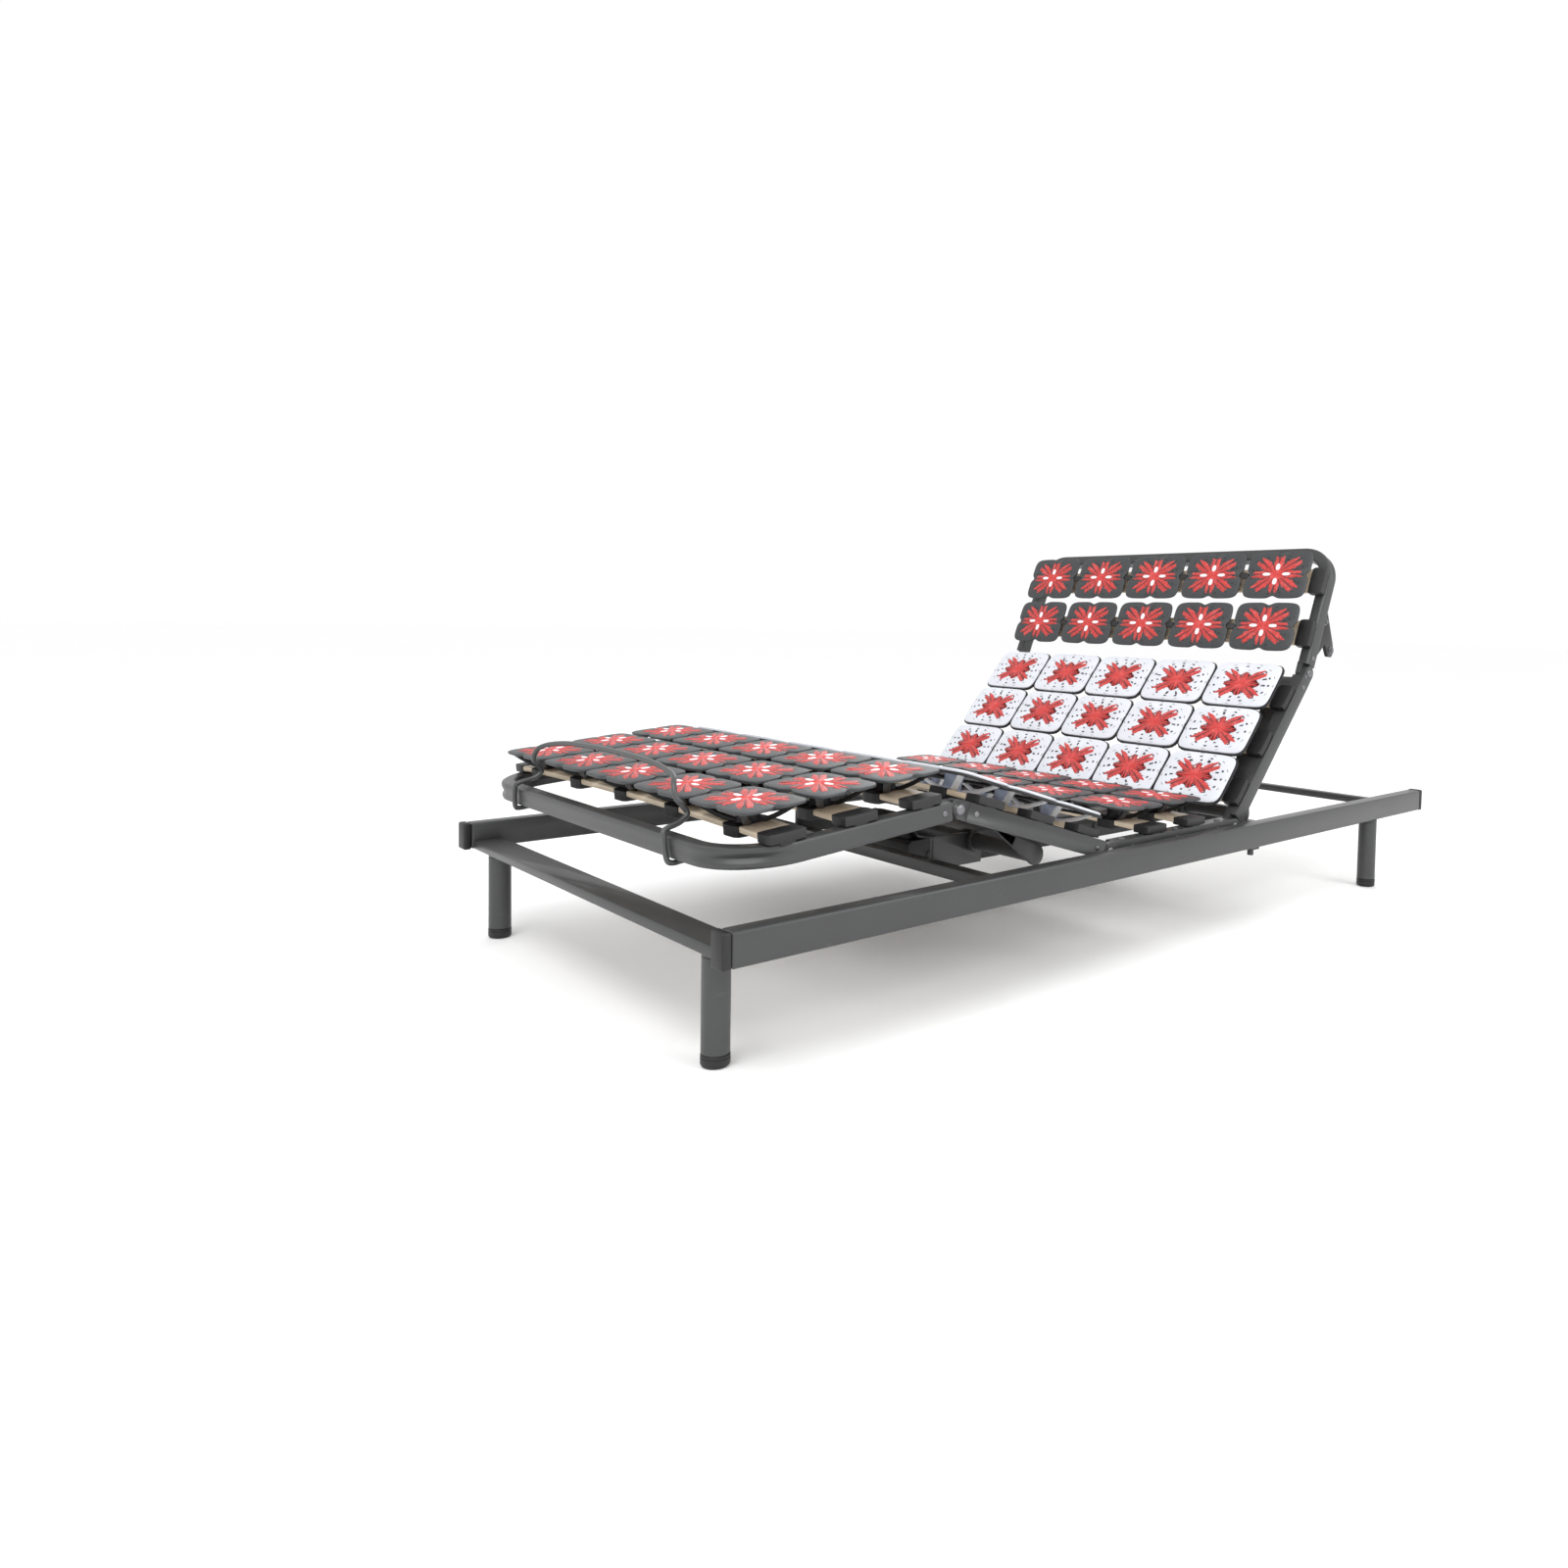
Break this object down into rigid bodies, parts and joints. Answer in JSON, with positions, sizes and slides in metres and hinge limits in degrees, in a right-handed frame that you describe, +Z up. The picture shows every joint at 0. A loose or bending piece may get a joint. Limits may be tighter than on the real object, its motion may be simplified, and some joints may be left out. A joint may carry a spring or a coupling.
{
  "type": "adjustable bed base",
  "caption": "Adjustable bed base: steel tube frame with four folding sections, twin-drive lift shafts and spring modules on beech slats.",
  "frame": {"origin": "centre of the footprint at floor level", "axes": "+Y towards the head end, +X towards the right side seen from the foot end, +Z up; raised pose at rest"},
  "size_m": [0.9, 1.9, 0.7472],
  "materials": {
    "frame_paint": "satin",
    "dark_steel": "satin",
    "black_steel": "satin",
    "black_plastic": "matte",
    "anthracite_plastic": "matte",
    "white_plastic": "matte",
    "beech": "satin lacquer"
  },
  "bodies": {
    "base": {"side_rail_right": "frame_paint", "side_rail_left": "frame_paint", "foot_cross_rail": "frame_paint", "head_cross_rail": "frame_paint", "cross_bar_foot": "frame_paint", "cross_bar_head": "frame_paint", "rail_cap_foot_right": "black_plastic", "rail_cap_foot_left": "black_plastic", "rail_cap_head_right": "black_plastic", "rail_cap_head_left": "black_plastic", "leg_foot_right": "frame_paint", "leg_foot_left": "frame_paint", "leg_head_right": "frame_paint", "leg_head_left": "frame_paint", "glide_foot_right": "black_plastic", "glide_foot_left": "black_plastic", "glide_head_right": "black_plastic", "glide_head_left": "black_plastic", "seat_tube_right": "frame_paint", "seat_tube_left": "frame_paint", "motor_housing": "black_plastic", "anchor_bolt": "dark_steel", "slat_seat_1": "beech", "slat_seat_2": "beech", "module_row_seat_1": "anthracite_plastic", "module_row_seat_2": "anthracite_plastic"},
    "back_section": {"back_frame": "frame_paint", "slat_back_1": "beech", "slat_back_2": "beech", "slat_back_3": "beech", "module_row_back_1": "white_plastic", "module_row_back_2": "white_plastic", "module_row_back_3": "white_plastic"},
    "head_section": {"head_frame": "frame_paint", "head_lever": "black_steel", "slat_head_1": "beech", "slat_head_2": "beech", "module_row_head_1": "anthracite_plastic", "module_row_head_2": "anthracite_plastic"},
    "thigh_section": {"thigh_frame": "frame_paint", "slat_thigh_1": "beech", "slat_thigh_2": "beech", "slat_thigh_3": "beech", "module_row_thigh_1": "white_plastic", "module_row_thigh_2": "white_plastic", "module_row_thigh_3": "white_plastic"},
    "leg_section": {"leg_frame": "frame_paint", "mattress_retainer": "dark_steel", "slat_leg_1": "beech", "slat_leg_2": "beech", "slat_leg_3": "beech", "module_row_leg_1": "anthracite_plastic", "module_row_leg_2": "anthracite_plastic", "module_row_leg_3": "anthracite_plastic"},
    "thigh_lift": {"thigh_lift": "dark_steel"},
    "back_lift": {"back_lift": "dark_steel"}
  },
  "joints": [
    {"name": "back_hinge", "type": "hinge", "parent": "base", "child": "back_section", "pos_m": [0, 0.205, 0.19], "axis": [1, 0, 0], "range_deg": [-48, 14]},
    {"name": "head_hinge", "type": "hinge", "parent": "back_section", "child": "head_section", "pos_m": [0, 0.46596, 0.47983], "axis": [1, 0, 0], "range_deg": [-19.2, 5.6]},
    {"name": "thigh_hinge", "type": "hinge", "parent": "base", "child": "thigh_section", "pos_m": [0, -0.175, 0.19], "axis": [-1, 0, 0], "range_deg": [-17, 18]},
    {"name": "knee_hinge", "type": "hinge", "parent": "thigh_section", "child": "leg_section", "pos_m": [0, -0.52883, 0.29818], "axis": [1, 0, 0], "range_deg": [-22, 23.3]},
    {"name": "thigh_lift_turn", "type": "hinge", "parent": "base", "child": "thigh_lift", "pos_m": [0, -0.295, 0.19], "axis": [-1, 0, 0], "range_deg": [-34, 36]},
    {"name": "back_lift_turn", "type": "hinge", "parent": "base", "child": "back_lift", "pos_m": [0, 0.335, 0.19], "axis": [1, 0, 0], "range_deg": [-96, 28]}
  ],
  "couplings": [
    {"joint": "head_hinge", "follows": "back_hinge", "ratio": 0.4},
    {"joint": "back_lift_turn", "follows": "back_hinge", "ratio": 2},
    {"joint": "knee_hinge", "follows": "thigh_hinge", "ratio": 1.2941},
    {"joint": "thigh_lift_turn", "follows": "thigh_hinge", "ratio": 2}
  ]
}
